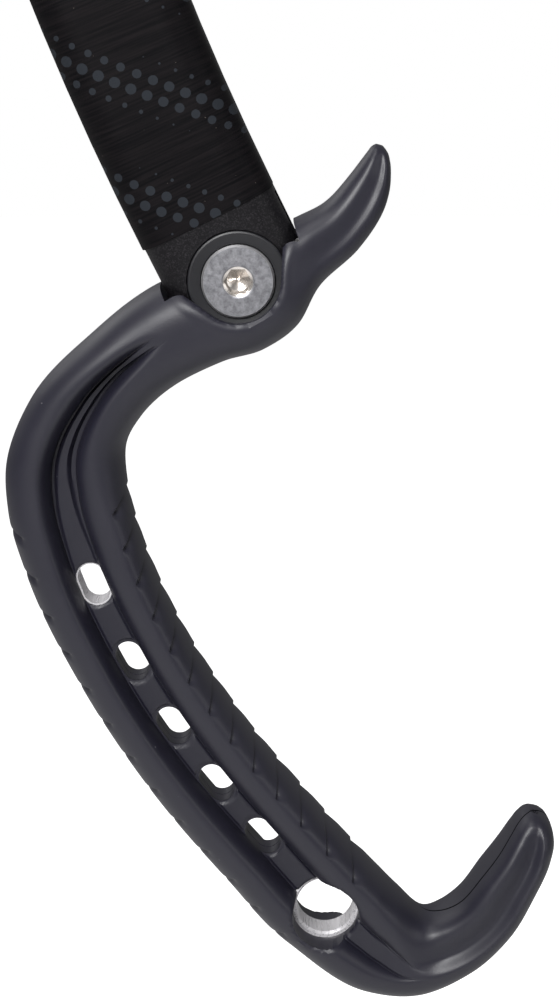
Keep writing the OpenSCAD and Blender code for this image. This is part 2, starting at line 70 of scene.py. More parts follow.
# Handle as pairs of points across it, from the hook's tip round the grip to the horn's tip, in millimetres.
# Each row: back edge x and z, front edge x and z, half thickness.
HOOK_ROWS = [
    [46.3, 20.9, 44.6, 21.3, 3.0],
    [47.8, 19.9, 43.3, 20.7, 5.4],
    [49.0, 18.2, 41.9, 19.3, 7.2],
    [49.7, 15.6, 40.4, 16.9, 8.6],
    [49.1, 11.1, 38.0, 12.8, 9.8],
    [46.0, 3.2, 34.1, 7.2, 10.4],
    [40.4, -7.2, 29.5, 0.8, 10.4],
    [32.6, -15.2, 25.1, -2.3, 10.0],
    [21.7, -20.8, 21.5, -2.8, 9.8],
    [8.6, -20.2, 16.5, 1.8, 10.0],
]
GRIP_ROWS = [
    [-8.4, -8.7, 10.0, 8.5, 10.1],
    [-21.5, 6.0, -2.9, 23.2, 10.2],
    [-38.1, 27.1, -17.8, 42.1, 10.2],
    [-52.7, 51.0, -30.6, 62.8, 10.2],
    [-63.5, 75.5, -39.5, 84.5, 10.2],
]
TOP_ROWS = [
    [-66.9, 89.1, -41.9, 95.1, 10.2],
    [-66.8, 100.1, -42.0, 102.6, 10.3],
    [-61.3, 113.1, -38.7, 109.1, 10.6],
    [-48.5, 126.4, -30.8, 116.3, 11.5],
    [-36.5, 135.5, -21.1, 121.2, 12.2],
    [-24.0, 141.1, -12.9, 123.7, 12.4],
    [-14.2, 146.4, -6.0, 128.9, 12.4],
    [-6.1, 150.2, -1.5, 136.9, 10.4],
    [-0.8, 153.1, 6.1, 144.0, 8.2],
    [4.2, 158.6, 11.7, 153.3, 6.2],
    [6.7, 161.9, 12.5, 158.2, 5.4],
    [7.9, 163.5, 12.3, 161.6, 4.4],
    [8.7, 164.5, 11.7, 163.5, 3.2],
    [9.4, 164.9, 10.9, 164.5, 1.6],
]
HOLE_ROW = len(HOOK_ROWS)

# Places on the handle and the shaft, in millimetres and radians
PIVOT = np.array([1000 * v for v in frame["joints"][0]["pos_m"]])[[0, 2]]
SHAFT_LEAN = math.radians(26.2)
SHAFT_OFFSET = -0.3
RIM_RISE = 13.5
BOW_R = 580.0

# Core plate: half thickness, room in the rubber and inset from the edges, then where its band starts,
# how far it stops short of the horn's tip, both in rows, and its steps
CORE_HALF, CORE_GAP, CORE_INSET = 3.3, 0.02, 4.2
CORE_FROM, CORE_SHORT, CORE_STEPS = 4.4, 5.6, 45

# Slots along the handle; the last one shows the bare core, and rubber sleeves line the others
SLOT_RUNS = [22.1, 37.9, 53.8, 70.7, 89.4]
SLOT_SHARE = 0.508
SLOT_W, SLOT_L = 5.6, 9.0
BARE_SLOT, BARE_MARGIN = len(SLOT_RUNS) - 1, 0.35
SLEEVE, PARTING, FLOOR_Y = 0.78, 0.14, 3.6

# Clip hole and mouth of the handle round the fork
CLIP_R, CLIP_LINER, CLIP_DROP, CLIP_ROUND = 6.3, 0.9, 0.3, 0.8
LIP_R, LIP_RISE, LIP_FLARE, LIP_REACH, LIP_ROUND = 8.8, 0.4, math.radians(29), 34, 0.7
LIP_RIDGE_AT, LIP_RIDGE_W, MOUTH_ROW = 1.5, 1.6, 17.5
CHEEK_R, SHOULDER_LEFT, SHOULDER_RIGHT = 11.5, 1.4, 2.0
FORK_HALF_W, FORK_HALF_T, FORK_TOP = 14.4, 9.8, 60
TURN_GAP, TILT = 0.25, math.radians(4)
THROUGH = 40

# Channel between the rails, by row: how far it is sunk, its edges as shares of the width, its pad's height,
# and the depth and width of the grooves beside the pad
CHANNEL_ON = ([7.9, 9.2, 17.6, 18.7], [0, 1, 1, 0])
CHANNEL_LEFT = ([8.0, 8.5, 8.9, 9.3, 9.8, 11, 12.5, 14, 15.5, 16.2, 17, 17.8, 18.4],
                [0.36, 0.36, 0.39, 0.42, 0.42, 0.42, 0.395, 0.405, 0.435, 0.45, 0.455, 0.425, 0.395])
CHANNEL_RIGHT = ([8.0, 8.3, 8.6, 9.1, 9.6, 13.2, 13.9, 15.4, 16.3, 17.1, 17.8, 18.4],
                 [0.45, 0.49, 0.555, 0.605, 0.63, 0.63, 0.615, 0.603, 0.593, 0.567, 0.505, 0.48])
PAD_Y = ([8.0, 8.6, 9.2, 9.7, 10.3, 14, 15, 16, 17, 17.8, 18.7],
         [8.6, 7.8, 7.0, 6.0, 4.0, 4.0, 4.4, 5.0, 5.6, 6.3, 8.6])
PAD_STOP, PAD_RAMP = 0.55, 0.3
GROOVE = ([8, 9.5, 14, 16, 18.5], [0.5, 0.4, 0.35, 1.2, 1.2])
GROOVE_W = ([8, 14, 15.5, 17.2, 18.4], [0.01, 0.01, 0.035, 0.032, 0.015])
EDGE = ([8, 14, 15.5, 16.5, 17.2, 18.4], [0.02, 0.02, 0.04, 0.034, 0.024, 0.012])

# Crests of the two rails as shares of the width, and how square the rails and the plain section are
BACK_TOP = 0.285
FRONT_TOP = ([8, 8.6, 9.6, 14, 16, 17, 17.9, 18.6], [0.64, 0.74, 0.845, 0.845, 0.75, 0.69, 0.6, 0.54])
RAIL_CROWN, INNER_CROWN, CROWN = 2.2, 1.7, 2.8
CROWN_FRONT = ([0, 3, 5, 6.5, 8.5], [2.6, 3.0, 3.2, 3.0, 2.8])

# Hollows of the hook and the horn: start, rise, stop and fall in rows, then the middle and the reach
# to the back and to the front as shares of the width
HOOK_SPAN = (0.8, 3.4, 9.0, 1.8)
HOOK_MIDDLE = ([2.5, 4, 5.5, 7, 8], [0.5, 0.45, 0.44, 0.5, 0.56])
HOOK_REACH = (0.22, 0.5)
HORN_SPAN = (21, 1.6, 27.4, 2.4)
HORN_MIDDLE = 0.58
HORN_REACH = (0.4, 0.22)

# Notches: shares of the pitch that their falls and steep walls take, and their depth across the handle
NOTCH_START = 1.0
NOTCH_BEND = 1.6
GILL_END, GILL_LEAN, GILL_RAMP = 0.872, 0.06, (0.03, 0.14)
FRONT_RISE, FRONT_RAIL = 0.62, 0.78
FRONT_STEP = ([GILL_END, 0.9, 1], [0.1, 0.085, 0.05])
FRONT_DEPTH = ([0.89, 0.93, 0.97, 1], [1.3, 1.0, 0.6, 0.45])
BACK_PHASE, BACK_STEP, BACK_RISE = 0.17, 0.04, 0.3
BACK_DEPTH = ([0, 0.03, 0.07, 0.1, 0.12], [0.7, 1.1, 1.1, 0.6, 0])

# How far each line along the handle runs ahead of its ring, by share of the width, so that notches slant
SLANT = ([0, 0.02, 0.06, 0.1, 0.2, 0.6, 0.8, 0.885, 0.93, 0.97, 1],
         [0, 0.6, 1.5, 2.2, 3, 3, 3.6, 3.7, 2.6, 1.3, 0])
SLANT_FADE = 12.0

# Rings of the skin: over a notch in shares of its pitch, at the tips and elsewhere in millimetres.
# Lines of the skin between the stops across the handle, gathered at its edges and towards the channel.
NOTCH_RINGS = [0.0, 0.05, 0.1, 0.16, 0.22, 0.28, 0.34, 0.4, 0.44, 0.458, 0.46, 0.47, 0.48, 0.49, 0.5, 0.54,
               0.6, 0.66, 0.72, 0.78, 0.83, 0.87, 0.9, 0.925, 0.94, 0.955, 0.97, 0.985]
TIP_RINGS = np.array([0.0, 0.05, 0.15, 0.3, 0.5])
RING_STEP, FIRST_RING, LAST_RING = 0.5, 0.8, 0.9
LINE_COUNTS = [18, 12, 8, 8, 6, 16, 7, 20]
EDGE_GATHER, RAIL_GATHER = 2.4, 1.8
SHARP_EDGE = math.radians(38)

# Parting line on the hook: x of its middle, half its length and its bow; where it starts; the moulding mark
SEAM_BOW = [35.0, 11.0, 4.2]
SEAM_START = [19.0, 23.0]
HOOK_TIP = [45.6, -0.8, 21.0]

# Soft lamps: name, place and size in metres, power in watts
LAMPS = (
    ("key_softbox", (-0.28, -0.76, 0.64), (0.45, 0.35), 12.0),
    ("top_softbox", (-0.25, 0.0, 1.05), (0.6, 0.6), 3.5),
    ("fill_softbox", (0.75, -0.45, 0.35), (0.5, 0.5), 1.2),
    ("back_softbox", (-0.5, 0.6, 0.55), (0.5, 0.5), 1.0),
)
LAMP_AIM = (-0.02, 0, 0.1)


def linear(hex_colour):
    """Linear RGBA of an sRGB hex value."""
    parts = [int(hex_colour[i:i + 2], 16) / 255 for i in (1, 3, 5)]
    return tuple(c / 12.92 if c <= 0.04045 else ((c + 0.055) / 1.055) ** 2.4 for c in parts) + (1.0,)


class GripSizes(bpy.types.PropertyGroup):
    """Sizes of the moulded grip that a user would change."""

    notch_pitch: bpy.props.FloatProperty(
        name="Notch pitch", description="Distance between the grip notches",
        default=8.4 * MM, min=6 * MM, max=10 * MM, unit="LENGTH")
    notch_depth: bpy.props.FloatProperty(
        name="Notch depth", description="Depth of a notch in the front rail",
        default=1.05 * MM, min=0.2 * MM, max=1.4 * MM, unit="LENGTH")
    notch_count: bpy.props.IntProperty(
        name="Notches", description="Notches along each rail", default=13, min=4, max=14)
    pad_rise: bpy.props.FloatProperty(
        name="Pad rise", description="Height of the pads beside the grooves, as a share of the moulded one",
        default=1.0, min=0, max=1.5, subtype="FACTOR")
    lip_ridge: bpy.props.FloatProperty(
        name="Lip ridge", description="Height of the soft ridge round the mouth",
        default=0.2 * MM, min=0, max=0.8 * MM, unit="LENGTH")
    hook_hollow: bpy.props.FloatProperty(
        name="Hook hollow", description="Depth of the hollow on the hook's faces",
        default=2.2 * MM, min=0, max=4 * MM, unit="LENGTH")
    horn_hollow: bpy.props.FloatProperty(
        name="Horn hollow", description="Depth of the hollow on the horn's faces",
        default=0.8 * MM, min=0, max=2 * MM, unit="LENGTH")


class ToolColours(bpy.types.PropertyGroup):
    """Main colours of the tool's finishes."""

    rubber: bpy.props.FloatVectorProperty(
        name="Rubber", description="Moulded rubber of the grip",
        default=linear("#171622"), min=0, max=1, size=4, subtype="COLOR")
    shaft: bpy.props.FloatVectorProperty(
        name="Shaft", description="Black anodised tube",
        default=linear("#040406"), min=0, max=1, size=4, subtype="COLOR")
    motif: bpy.props.FloatVectorProperty(
        name="Motif", description="Dots printed tone on tone on the shaft",
        default=linear("#25282D"), min=0, max=1, size=4, subtype="COLOR")
    fitting: bpy.props.FloatVectorProperty(
        name="Fitting", description="Speckled coat of the pivot fitting",
        default=linear("#0D0C0F"), min=0, max=1, size=4, subtype="COLOR")
    ring: bpy.props.FloatVectorProperty(
        name="Ring", description="Satin black rings round the bolt",
        default=linear("#17171A"), min=0, max=1, size=4, subtype="COLOR")
    bolt: bpy.props.FloatVectorProperty(
        name="Bolt", description="Zinc plated steel of the pivot bolt and its nut",
        default=linear("#6A6A6F"), min=0, max=1, size=4, subtype="COLOR")
    alloy: bpy.props.FloatVectorProperty(
        name="Alloy", description="Bare milled core plate",
        default=linear("#D2D0D4"), min=0, max=1, size=4, subtype="COLOR")
    head: bpy.props.FloatVectorProperty(
        name="Head", description="Powder coat of the head",
        default=linear("#1A1A1C"), min=0, max=1, size=4, subtype="COLOR")
    pick: bpy.props.FloatVectorProperty(
        name="Pick", description="Tempered steel of the pick and hammer",
        default=linear("#606165"), min=0, max=1, size=4, subtype="COLOR")
    fasteners: bpy.props.FloatVectorProperty(
        name="Fasteners", description="Dull zinc plated steel of the head's bolts, nuts and pins",
        default=linear("#46464A"), min=0, max=1, size=4, subtype="COLOR")


class StudioSettings(bpy.types.PropertyGroup):
    """Camera and floor."""

    camera_lift: bpy.props.FloatProperty(
        name="Camera lift", description="Angle of the view down onto the tool",
        default=math.radians(14.4), subtype="ANGLE")
    camera_distance: bpy.props.FloatProperty(
        name="Camera distance", description="Distance from the camera to the aimed point",
        default=0.46, unit="LENGTH")
    view_height: bpy.props.FloatProperty(
        name="View height", description="Height of the picture at the aimed point",
        default=0.21, unit="LENGTH")
    aim: bpy.props.FloatVectorProperty(
        name="Aim", description="Point at the middle of the picture",
        default=(-0.010, 0.0, 0.09082), subtype="TRANSLATION")
    floor_drop: bpy.props.FloatProperty(
        name="Floor drop", description="Distance from the hanging tool down to the floor",
        default=0.2, unit="LENGTH")


def feed(node, inputs):
    """Sets inputs by name, or in order those in use; a node as an input means its first output in use."""
    if isinstance(inputs, dict):
        pairs = [(node.inputs[name], value) for name, value in inputs.items()]
    else:
        pairs = zip([socket for socket in node.inputs if socket.enabled], inputs)
    for socket, value in pairs:
        if isinstance(value, bpy.types.Node):
            value = next(output for output in value.outputs if output.enabled)
        if isinstance(value, bpy.types.NodeSocket):
            node.id_data.links.new(value, socket)
        else:
            socket.default_value = value


def add(tree, kind, inputs=(), **settings):
    """Adds a node with its settings and inputs."""
    node = tree.nodes.new(kind)
    for name, value in settings.items():
        setattr(node, name, value)
    feed(node, inputs)
    return node


def material(name, colour, metallic, roughness):
    """A new material with its node tree and its shader."""
    made = bpy.data.materials.new(name)
    made.use_nodes = True
    shader = made.node_tree.nodes["Principled BSDF"]
    feed(shader, {"Base Color": colour, "Metallic": metallic, "Roughness": roughness})
    return made, made.node_tree, shader


def dress(finish, *names):
    """Gives carried-over parts a finish."""
    for name in names:
        slots = frame["nodes"][name].data.materials
        slots.clear()
        slots.append(finish)


def smooth(t):
    """Eases from 0 to 1."""
    t = np.clip(t, 0.0, 1.0)
    return t * t * (3 - 2 * t)


def bump(t):
    """A soft hump of height 1 at 0 that ends at -1 and 1."""
    return smooth(1 - np.abs(t))


def window(t, start, rise, stop, fall):
    """Eases from 0 to 1 after a start and back to 0 before a stop."""
    return smooth((t - start) / rise) * smooth((stop - t) / fall)


def dent(distance, back, front):
    """A soft hump with its own reach on each side of its middle."""
    return bump(distance / np.where(distance < 0, back, front))


def crown(t, power):
    """Height from 1 to 0 of a rounded section as t goes from its top to its edge."""
    return np.maximum(1 - np.clip(np.abs(t), 0, 1) ** power, 0) ** (1 / power)


class HandleLine:
    """The smooth curve through the handle's rows, measured along the handle's middle line."""

    def __init__(self):
        self.rows = np.array(HOOK_ROWS + GRIP_ROWS + TOP_ROWS)
        middle = (self.rows[:, 0:2] + self.rows[:, 2:4]) / 2
        self.gaps = np.linalg.norm(np.diff(middle, axis=0), axis=1)
        self.run = np.concatenate([[0], np.cumsum(self.gaps)])
        steps = np.diff(self.rows, axis=0) / self.gaps[:, None]
        before, after = self.gaps[:-1, None], self.gaps[1:, None]
        inner = (steps[1:] * before + steps[:-1] * after) / (before + after)
        self.slopes = np.concatenate([steps[:1], inner, steps[-1:]])

    def span(self, u):
        """The row before each run and the share of the way to the next."""
        i = np.clip(np.searchsorted(self.run, u, side="right") - 1, 0, len(self.gaps) - 1)
        return i, (u - self.run[i]) / self.gaps[i]

    def station(self, u):
        """Runs as rows, with the share of the way to the next row as a fraction."""
        i, t = self.span(u)
        return i + t

    def row(self, u):
        """Rows at the given runs, with the row's five numbers on the last axis."""
        i, t = self.span(u)
        t, gap = t[..., None], self.gaps[i][..., None]
        return (self.rows[i] * (1 + 2 * t) * (1 - t) ** 2 + self.slopes[i] * gap * t * (1 - t) ** 2
                + self.rows[i + 1] * t * t * (3 - 2 * t) - self.slopes[i + 1] * gap * t * t * (1 - t))

    def across(self, u, share):
        """Point on the middle plane at a run and a share of the width."""
        r = self.row(np.asarray(float(u)))
        return r[0:2] + (r[2:4] - r[0:2]) * share


HANDLE = HandleLine()


def slot_frame(i):
    """Centre of a slot and its unit direction along the handle."""
    u = HANDLE.run[HOLE_ROW] + SLOT_RUNS[i]
    centre = HANDLE.across(u, SLOT_SHARE)
    way = HANDLE.across(u + 1, SLOT_SHARE) - centre
    return centre, way / np.linalg.norm(way)


def shaft_place(across, along):
    """Point of the tool's plane, given across and along the shaft from the pivot."""
    c, s = math.cos(SHAFT_LEAN), math.sin(SHAFT_LEAN)
    return np.array([PIVOT[0] + across * c - along * s, PIVOT[1] + across * s + along * c])


def slot_distance(x, z):
    """Distance outside the nearest slot's outline."""
    nearest = np.full_like(x, np.inf)
    for i in range(len(SLOT_RUNS)):
        centre, way = slot_frame(i)
        dx, dz = x - centre[0], z - centre[1]
        along = np.maximum(np.abs(dx * way[0] + dz * way[1]) - (SLOT_L - SLOT_W) / 2, 0)
        nearest = np.minimum(nearest, np.hypot(along, dx * way[1] - dz * way[0]) - SLOT_W / 2)
    return nearest


def mouth_distance(x, z):
    """Distance outside the mouth's outline: a circle under the bolt with flared tangents."""
    c, s = math.cos(SHAFT_LEAN), math.sin(SHAFT_LEAN)
    dx, dz = x - PIVOT[0], z - PIVOT[1]
    px, pz = np.abs(dx * c + dz * s), -dx * s + dz * c - LIP_RISE
    beside = px * math.sin(LIP_FLARE) + pz * math.cos(LIP_FLARE) > 0
    side = px * math.cos(LIP_FLARE) - pz * math.sin(LIP_FLARE)
    return np.where(beside, side, np.hypot(px, pz)) - LIP_R


def rim_drop(distance, radius):
    """Fall of a rounded edge of that radius at a distance in from the edge."""
    t = np.clip(radius - distance, 0, radius)
    return radius - np.sqrt(np.maximum(radius * radius - t * t, 0))


def notch_shape(phase, step, rise):
    """Depth from 0 to 1 over one pitch: a slow fall towards the horn, then a steep wall."""
    p = phase % 1.0
    fall = np.clip((p - 1 + rise) / (rise - step), 0, 1)
    wall = np.clip((1 - p) / step, 0, 1)
    return np.minimum(fall ** NOTCH_BEND, wall)


def grip_rings(sizes):
    """Runs of the rings along the handle, closer together at the notches, and the two ends of the notches."""
    pitch = sizes.notch_pitch / MM
    start = HANDLE.run[HOLE_ROW] - NOTCH_START
    end = start + sizes.notch_count * pitch
    top = HANDLE.run[-1]
    lower = np.arange(FIRST_RING, start - RING_STEP / 2, RING_STEP)
    notched = [start + (i + p) * pitch for i in range(sizes.notch_count) for p in NOTCH_RINGS]
    upper = np.arange(end, top - LAST_RING, RING_STEP)
    return np.concatenate([TIP_RINGS, lower, notched, upper, top - TIP_RINGS[::-1]]), start, end


def grip_shares(station):
    """Shares of the width where the lines along the handle run."""
    left, right = np.interp(station, *CHANNEL_LEFT), np.interp(station, *CHANNEL_RIGHT)
    none, edge = np.zeros_like(left), np.interp(station, *EDGE)
    stops = [none, none + BACK_TOP, left - edge, left + edge, right - np.interp(station, *GROOVE_W) - edge,
             right, np.interp(station, *FRONT_TOP), none + GILL_END, none + 1]
    columns = []
    for j, count in enumerate(LINE_COUNTS):
        t = np.arange(count) / count
        if j in (0, 5):
            t = t ** EDGE_GATHER
        if j == 1:
            t = 1 - (1 - t) ** RAIL_GATHER
        if j == len(LINE_COUNTS) - 1:
            t = 1 - (1 - t) ** EDGE_GATHER
        columns.append(stops[j][:, None] * (1 - t) + stops[j + 1][:, None] * t)
    return np.concatenate(columns + [stops[-1][:, None]], axis=1)


def railed_section(share, station, half, slots, pad_rise):
    """Height of the two round rails with the channel, its raised pad and its grooves between them."""
    left, right = np.interp(station, *CHANNEL_LEFT), np.interp(station, *CHANNEL_RIGHT)
    top, pad = np.interp(station, *FRONT_TOP), np.interp(station, *PAD_Y)
    groove, edge = np.interp(station, *GROOVE) * pad_rise, np.interp(station, *EDGE)
    raised = smooth((share - left + edge / 2) / edge)
    raised = raised * smooth((right - np.interp(station, *GROOVE_W) - share) / edge)
    raised = raised * smooth((slots - PAD_STOP) / PAD_RAMP)
    floor = np.minimum(pad - groove * (1 - raised), half)
    back = half * crown((BACK_TOP - share) / BACK_TOP, RAIL_CROWN)
    foot = np.minimum(pad - groove, half)
    slope = foot + (half - foot) * crown((share - BACK_TOP) / (left - edge - BACK_TOP), INNER_CROWN)
    wall = floor + (half - floor) * crown((top - share) / (top - right), RAIL_CROWN)
    front = half * crown((share - top) / (1 - top), RAIL_CROWN)
    return np.select([share < BACK_TOP, share < left - edge, share < right, share < top],
                     [back, slope, floor, wall], front)


def notch_cut(rings, share, start, end, sizes):
    """Depth that the notches take: slanted scoops in the front rail and short nicks in the back rail."""
    phase = (rings[:, None] - start) / (sizes.notch_pitch / MM)
    inside = (rings > start) & (rings < end)
    step = np.interp(share, *FRONT_STEP)
    front = notch_shape(phase, step, FRONT_RISE) * np.interp(share, *FRONT_DEPTH)
    past_wall = np.clip(1 - step - phase % 1.0, 0, 1)
    ramp = GILL_RAMP[0] + GILL_RAMP[1] * past_wall
    front = front * smooth((share - GILL_END - GILL_LEAN * past_wall) / ramp)
    back = notch_shape(phase + BACK_PHASE, BACK_STEP, BACK_RISE) * np.interp(share, *BACK_DEPTH)
    return sizes.notch_depth / MM * (front + back) * inside[:, None]


def grip_skin(sizes):
    """Grid of points over the +Y face of the handle, in millimetres: rings along it, lines across it."""
    rings, start, end = grip_rings(sizes)
    share = grip_shares(HANDLE.station(rings))
    fade = np.clip(np.minimum(rings - start, end - rings) / SLANT_FADE + 1, 0, 1)
    run = np.clip(rings[:, None] - np.interp(share, *SLANT) * fade[:, None], 0, HANDLE.run[-1])
    station = HANDLE.station(run)
    row = HANDLE.row(run)
    way = row[..., 2:4] - row[..., 0:2]
    width = np.linalg.norm(way, axis=-1)
    place = row[..., 0:2] + way * share[..., None]
    x, z, half = place[..., 0], place[..., 1], row[..., 4]

    # The section, plain on hook and horn and railed on the grip, less the hollows of hook and horn
    plain = half * crown(2 * share - 1, np.where(share > 0.5, np.interp(station, *CROWN_FRONT), CROWN))
    railed = railed_section(share, station, half, slot_distance(x, z), sizes.pad_rise)
    y = plain + (railed - plain) * smooth(np.interp(station, *CHANNEL_ON))
    hook = window(station, *HOOK_SPAN) * dent(share - np.interp(station, *HOOK_MIDDLE), *HOOK_REACH)
    horn = window(station, *HORN_SPAN) * dent(share - HORN_MIDDLE, *HORN_REACH)
    y = y - (sizes.hook_hollow * hook + sizes.horn_hollow * horn) / MM

    # Rounded edges at the mouth, with its ridge, and at the clip hole
    mouth = mouth_distance(x, z)
    ridge = sizes.lip_ridge / MM * bump((mouth - LIP_RIDGE_AT) / LIP_RIDGE_W)
    y = y + smooth(station - MOUTH_ROW) * (ridge - rim_drop(mouth, LIP_ROUND))
    y = y - rim_drop(np.hypot(x, z + CLIP_DROP) - CLIP_R - CLIP_LINER, CLIP_ROUND)
    y = np.maximum(y, 0)

    # A notch draws the skin in towards the middle of its rail
    out = (share - np.where(share > 0.5, FRONT_RAIL, BACK_TOP)) * width
    pull = notch_cut(rings, share, start, end, sizes) / np.maximum(np.hypot(out, y), 1)
    place = place - (way / width[..., None]) * (out * pull)[..., None]
    return np.stack([place[..., 0], y * (1 - pull), place[..., 1]], axis=-1)


def closed_mesh(name, points):
    """A closed mesh from a grid of points whose first and last lines lie on the middle plane."""
    n, m = points.shape[:2]
    i, k = np.meshgrid(np.arange(n - 1), np.arange(m), indexing="ij")
    a, b = i * m + k, i * m + (k + 1) % m
    faces = np.stack([a, a + m, b + m, b], axis=-1).reshape(-1, 4).tolist()
    faces.append(list(range(m)))
    faces.append(list(range((n - 1) * m, n * m))[::-1])
    mesh = bpy.data.meshes.new(name)
    mesh.from_pydata((points.reshape(-1, 3) * MM).tolist(), [], faces)
    mesh.validate()
    return mesh


def prism(name, outlines):
    """A closed mesh of prisms across the tool: each is (points of x and z, y0, y1), in millimetres."""
    points, faces = [], []
    for outline, y0, y1 in outlines:
        count, first = len(outline), len(points)
        points += [(x * MM, y * MM, z * MM) for y in (y0, y1) for x, z in outline]
        faces.append([first + i for i in range(count)])
        faces.append([first + count + i for i in range(count)][::-1])
        faces += [[first + i, first + count + i, first + count + (i + 1) % count, first + (i + 1) % count]
                  for i in range(count)]
    mesh = bpy.data.meshes.new(name)
    mesh.from_pydata(points, [], faces)
    made = bpy.data.objects.new(name, mesh)
    bpy.context.scene.collection.objects.link(made)
    bpy.context.view_layer.objects.active = made
    bpy.ops.object.mode_set(mode="EDIT")
    bpy.ops.mesh.select_all(action="SELECT")
    bpy.ops.mesh.normals_make_consistent(inside=False)
    bpy.ops.object.mode_set(mode="OBJECT")
    return made


def arc(centre, radius, start, end, steps):
    """Points on an arc, from one angle in degrees to another."""
    turns = np.radians(np.linspace(start, end, steps))
    return [(centre[0] + radius * math.cos(t), centre[1] + radius * math.sin(t)) for t in turns]


def slot_outline(i, grow):
    """Outline of a slot, a stadium grown by a margin."""
    centre, way = slot_frame(i)
    straight, radius = (SLOT_L - SLOT_W) / 2, SLOT_W / 2 + grow
    local = arc((straight, 0), radius, -90, 90, 24) + arc((-straight, 0), radius, 90, 270, 24)
    return [(centre[0] + a * way[0] - b * way[1], centre[1] + a * way[1] + b * way[0]) for a, b in local]


def mouth_outline():
    """Outline of the mouth round the fork: an arc with two flared sides."""
    flare = math.degrees(LIP_FLARE)
    foot = arc((0, LIP_RISE), LIP_R, -180 + flare, -flare, 60)
    out, up = math.sin(LIP_FLARE) * LIP_REACH, math.cos(LIP_FLARE) * LIP_REACH
    local = foot + [(foot[-1][0] + out, foot[-1][1] + up), (foot[0][0] - out, foot[0][1] + up)]
    return [tuple(shaft_place(a, b)) for a, b in local]


def fork_room():
    """Outline of the room that the fork's cheeks and shoulders sweep between the two limits of the tilt."""
    left = SHAFT_OFFSET / 2 - FORK_HALF_W - TURN_GAP
    right = SHAFT_OFFSET / 2 + FORK_HALF_W + TURN_GAP
    c, s = math.cos(TILT), math.sin(TILT)
    local = [(left * c - low * s, left * s + low * c) for low in (FORK_TOP, SHOULDER_LEFT - TURN_GAP)]
    local += arc((0, 0), CHEEK_R + TURN_GAP, 183, 357, 60)
    local += [(right * c + low * s, -right * s + low * c) for low in (SHOULDER_RIGHT - TURN_GAP, FORK_TOP)]
    return [tuple(shaft_place(a, b)) for a, b in local]


def core_outline():
    """Outline of the core plate's band inside the handle."""
    stations = np.linspace(CORE_FROM, len(HANDLE.rows) - 1 - CORE_SHORT, CORE_STEPS)
    index = np.floor(stations).astype(int)
    rows = HANDLE.row(HANDLE.run[index] + HANDLE.gaps[index] * (stations - index))
    way = rows[:, 2:4] - rows[:, 0:2]
    inset = way * (CORE_INSET / np.linalg.norm(way, axis=1)[:, None])
    back, front = rows[:, 0:2] + inset, rows[:, 2:4] - inset
    return [tuple(p) for p in np.concatenate([back, front[::-1]])]


def line_slots(mesh, slots):
    """Adds the rubber sleeves that line slots of the core plate and meet at a parting line in the middle."""
    build = bmesh.new()
    build.from_mesh(mesh)
    for i in slots:
        loops = [[build.verts.new((x * MM, y * MM, z * MM)) for x, z in slot_outline(i, grow)]
                 for grow, y in ((0.0, PARTING), (0.0, FLOOR_Y), (SLEEVE, FLOOR_Y), (SLEEVE, PARTING))]
        for a, b in zip(loops, loops[1:] + loops[:1]):
            for k in range(len(a)):
                build.faces.new((a[k - 1], a[k], b[k], b[k - 1]))
    bmesh.ops.recalc_face_normals(build, faces=build.faces)
    build.to_mesh(mesh)
    build.free()


def carve(mesh, cutters):
    """The mesh with each cutter taken away in turn."""
    body = bpy.data.objects.new("carving", mesh)
    bpy.context.scene.collection.objects.link(body)
    for cutter in cutters:
        step = body.modifiers.new(cutter.name, "BOOLEAN")
        step.operation = "DIFFERENCE"
        step.solver = "EXACT"
        step.object = cutter
    done = bpy.data.meshes.new_from_object(body.evaluated_get(bpy.context.evaluated_depsgraph_get()))
    for spent in [body, *cutters]:
        bpy.data.objects.remove(spent)
    if len(done.polygons) < len(mesh.polygons) // 2:
        raise RuntimeError("a cutter took away too much of the grip")
    return done


